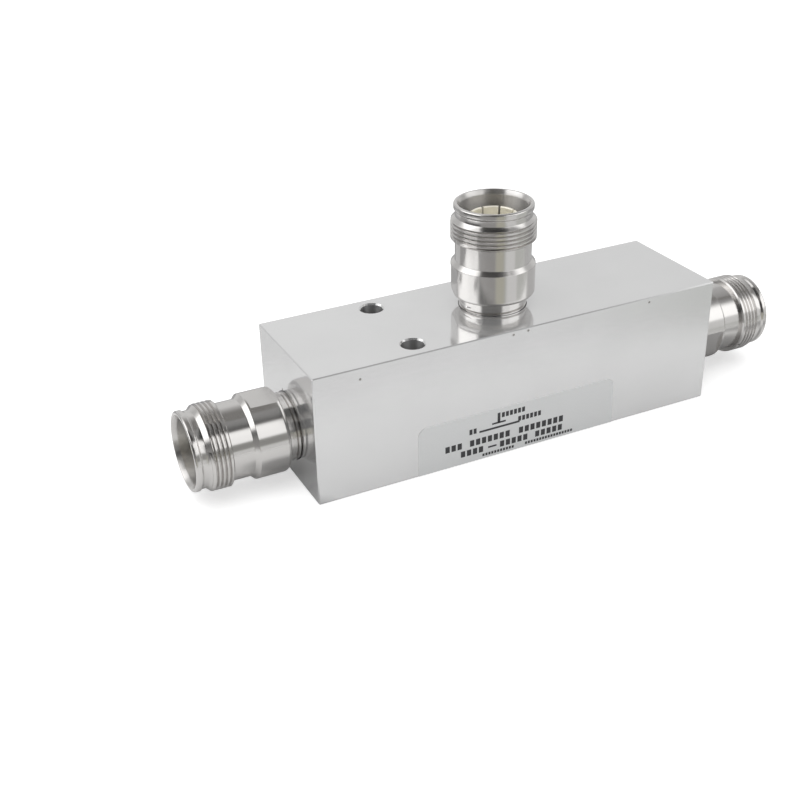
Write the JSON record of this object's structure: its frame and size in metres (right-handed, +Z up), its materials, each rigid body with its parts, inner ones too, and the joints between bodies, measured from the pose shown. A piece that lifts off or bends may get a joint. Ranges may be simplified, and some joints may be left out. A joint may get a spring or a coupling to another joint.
{
  "type": "rf power tapper",
  "caption": "Square metal bar with a coaxial socket on each end and one on top: it passes radio power along the line and taps a part of it off upwards.",
  "frame": {"origin": "middle of the bar's bottom face, under the tap's axis", "axes": "+X runs along the through line from the input socket to the output socket, +Z points up along the tap socket, and the label is on the -Y face"},
  "size_m": [0.1568, 0.0319, 0.0569],
  "materials": {
    "bar": "fly-cut and bright plated, near mirror",
    "shell_plating": "turned brass with bright white-bronze plating",
    "contact_plating": "spring brass with satin silver plating",
    "conductor": "turned, satin plated",
    "insulator": "turned white fluoroplastic, waxy",
    "seal_rubber": "matt moulded ring",
    "label_film": "satin silver-grey film"
  },
  "bodies": {
    "root": {"housing": "bar", "label": "label_film", "input_shell": "shell_plating", "input_outer_contact": "contact_plating", "input_insulator": "insulator", "input_centre_contact": "contact_plating", "input_seal": "seal_rubber", "output_shell": "shell_plating", "output_outer_contact": "contact_plating", "output_insulator": "insulator", "output_centre_contact": "contact_plating", "output_seal": "seal_rubber", "tap_shell": "shell_plating", "tap_outer_contact": "contact_plating", "tap_insulator": "insulator", "tap_centre_contact": "contact_plating", "tap_seal": "seal_rubber", "main_conductor": "conductor", "input_bead": "insulator", "output_bead": "insulator", "coupling_sleeve": "insulator", "coupling_saddle": "conductor", "tap_conductor": "conductor"}
  },
  "joints": []
}
